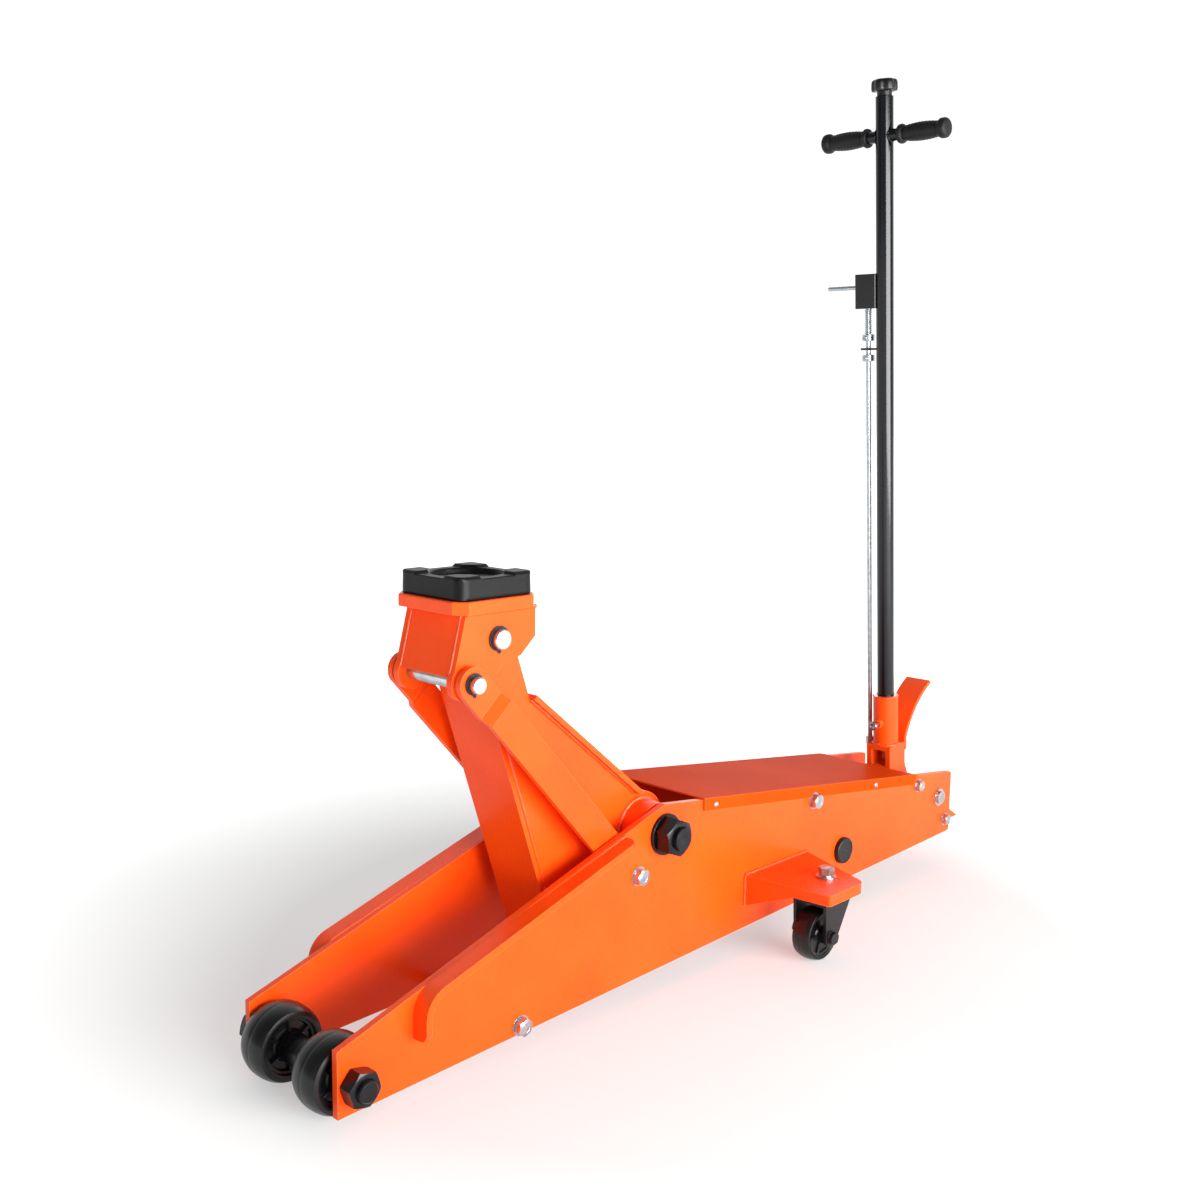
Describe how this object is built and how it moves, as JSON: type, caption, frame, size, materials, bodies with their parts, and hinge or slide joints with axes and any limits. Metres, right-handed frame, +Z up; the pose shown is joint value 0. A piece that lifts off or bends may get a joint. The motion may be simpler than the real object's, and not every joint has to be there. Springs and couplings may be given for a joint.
{
  "type": "car jack",
  "caption": "Long-chassis hydraulic trolley jack with levelling saddle, square rubber pad, swivel castors, upright T-bar pump handle, release knob and sprung side latch.",
  "frame": {"origin": "middle of the jack's length and width, on the floor", "axes": "+X from the front wheels to the handle, +Z up, +Y towards the side that carries the latch rod"},
  "size_m": [1.606, 0.548, 1.549],
  "materials": {
    "orange_enamel": "gloss orange enamel over welded steel plate",
    "black_steel": "black oxide steel, lightly oiled",
    "zinc_plate": "bright zinc-plated fastener",
    "bright_pin": "ground bright pin",
    "black_polyurethane": "moulded black wheel",
    "cast_black": "black painted casting",
    "bronze": "plain bronze bush",
    "pad_rubber": "matt black moulded rubber",
    "raw_steel": "machined steel",
    "chromed_rod": "hard chromed and polished",
    "black_gloss": "gloss black powder coat",
    "grip_rubber": "soft black grip",
    "knob_plastic": "moulded black knob"
  },
  "bodies": {
    "chassis": {"side_plate_left": "orange_enamel", "side_plate_right": "orange_enamel", "stiffener_ribs": "orange_enamel", "castor_brackets": "orange_enamel", "main_pivot_shaft": "black_steel", "main_pivot_nuts": "black_steel", "front_axle": "black_steel", "front_axle_nuts": "black_steel", "front_axle_spacers": "black_steel", "tie_rods": "orange_enamel", "tie_bolts": "zinc_plate", "link_pivot_bolts": "zinc_plate", "rear_cross_plate": "orange_enamel", "top_cover": "orange_enamel", "cover_screws": "zinc_plate", "ram_cylinder": "orange_enamel", "pump_block": "raw_steel", "trunnion_caps": "black_steel", "castor_kingpins": "zinc_plate", "handle_pivot_pin": "bright_pin"},
    "arm": {"arm_webs": "orange_enamel", "arm_back_plate": "orange_enamel", "arm_front_plate": "orange_enamel", "torque_tube": "orange_enamel", "pivot_bushes": "bronze", "lever_pin": "bright_pin"},
    "ram": {"push_head": "raw_steel", "ram_rod": "chromed_rod"},
    "link_left": {"link_left": "orange_enamel"},
    "link_right": {"link_right": "orange_enamel"},
    "saddle": {"saddle_ears": "orange_enamel", "saddle_front_plate": "orange_enamel", "saddle_top_plate": "orange_enamel", "saddle_pad": "pad_rubber", "saddle_pin": "bright_pin", "link_pin": "bright_pin", "saddle_circlips": "black_steel"},
    "front_wheel_left": {"front_wheel_left": "black_polyurethane"},
    "front_wheel_right": {"front_wheel_right": "black_polyurethane"},
    "castor_left": {"castor_fork_left": "cast_black"},
    "castor_right": {"castor_fork_right": "cast_black"},
    "castor_wheel_left": {"castor_wheel_left": "black_polyurethane"},
    "castor_wheel_right": {"castor_wheel_right": "black_polyurethane"},
    "handle": {"socket_yoke": "orange_enamel", "socket_tube": "orange_enamel", "clamp_screw": "zinc_plate", "foot_pedal": "orange_enamel", "handle_tube": "black_gloss", "t_bar": "black_gloss", "t_bar_grips": "grip_rubber", "latch_block": "cast_black", "latch_guide_tab": "black_steel"},
    "release": {"release_knob": "knob_plastic", "release_rod": "zinc_plate"},
    "latch": {"latch_rod": "zinc_plate", "latch_lever": "zinc_plate", "latch_collars": "zinc_plate", "latch_spring": "zinc_plate"},
    "plunger": {"pump_plunger": "chromed_rod"}
  },
  "joints": [
    {"name": "arm_lift", "type": "hinge", "parent": "chassis", "child": "arm", "pos_m": [-0.1448, 0, 0.2583], "axis": [0, 1, 0], "range_deg": [-68, 0]},
    {"name": "saddle_level", "type": "hinge", "parent": "arm", "child": "saddle", "pos_m": [-0.45986, 0, 0.60613], "axis": [0, 1, 0], "range_deg": [0, 68]},
    {"name": "link_left_swing", "type": "hinge", "parent": "chassis", "child": "link_left", "pos_m": [-0.2048, -0.089, 0.2028], "axis": [0, 1, 0], "range_deg": [-68, 0]},
    {"name": "link_right_swing", "type": "hinge", "parent": "chassis", "child": "link_right", "pos_m": [-0.2048, 0.089, 0.2028], "axis": [0, 1, 0], "range_deg": [-68, 0]},
    {"name": "ram_slide", "type": "slide", "parent": "chassis", "child": "ram", "axis": [1, 0, 0], "range_m": [0, 0.1232]},
    {"name": "front_wheel_left_roll", "type": "hinge", "parent": "chassis", "child": "front_wheel_left", "pos_m": [-0.748, -0.0624, 0.055], "axis": [0, 1, 0], "continuous": true},
    {"name": "castor_left_swivel", "type": "hinge", "parent": "chassis", "child": "castor_left", "pos_m": [0.158, -0.214, 0.113], "axis": [0, 0, 1], "continuous": true},
    {"name": "castor_left_roll", "type": "hinge", "parent": "castor_left", "child": "castor_wheel_left", "pos_m": [0.132, -0.214, 0.046], "axis": [0, 1, 0], "continuous": true},
    {"name": "front_wheel_right_roll", "type": "hinge", "parent": "chassis", "child": "front_wheel_right", "pos_m": [-0.748, 0.0624, 0.055], "axis": [0, 1, 0], "continuous": true},
    {"name": "castor_right_swivel", "type": "hinge", "parent": "chassis", "child": "castor_right", "pos_m": [0.158, 0.214, 0.113], "axis": [0, 0, 1], "continuous": true},
    {"name": "castor_right_roll", "type": "hinge", "parent": "castor_right", "child": "castor_wheel_right", "pos_m": [0.132, 0.214, 0.046], "axis": [0, 1, 0], "continuous": true},
    {"name": "handle_swing", "type": "hinge", "parent": "chassis", "child": "handle", "pos_m": [0.7052, 0, 0.1446], "axis": [0, 1, 0], "range_deg": [0, 50]},
    {"name": "plunger_slide", "type": "slide", "parent": "chassis", "child": "plunger", "axis": [-1, 0, 0], "range_m": [0, 0.0346]},
    {"name": "release_turn", "type": "hinge", "parent": "handle", "child": "release", "pos_m": [0.56717, 0, 1.53072], "axis": [-0.0814, 0, 0.9967], "range_deg": [0, 180]},
    {"name": "latch_slide", "type": "slide", "parent": "handle", "child": "latch", "axis": [-0.0814, 0, 0.9967], "range_m": [0, 0.008], "stiffness_N_per_m": 700, "springref_m": -0.012, "deforming": ["latch_spring"]}
  ],
  "couplings": [
    {"joint": "saddle_level", "follows": "arm_lift", "ratio": -1},
    {"joint": "link_left_swing", "follows": "arm_lift", "ratio": 1},
    {"joint": "link_right_swing", "follows": "arm_lift", "ratio": 1},
    {"joint": "ram_slide", "follows": "arm_lift", "m_per_rad": -0.10366},
    {"joint": "plunger_slide", "follows": "handle_swing", "m_per_rad": 0.039534}
  ]
}
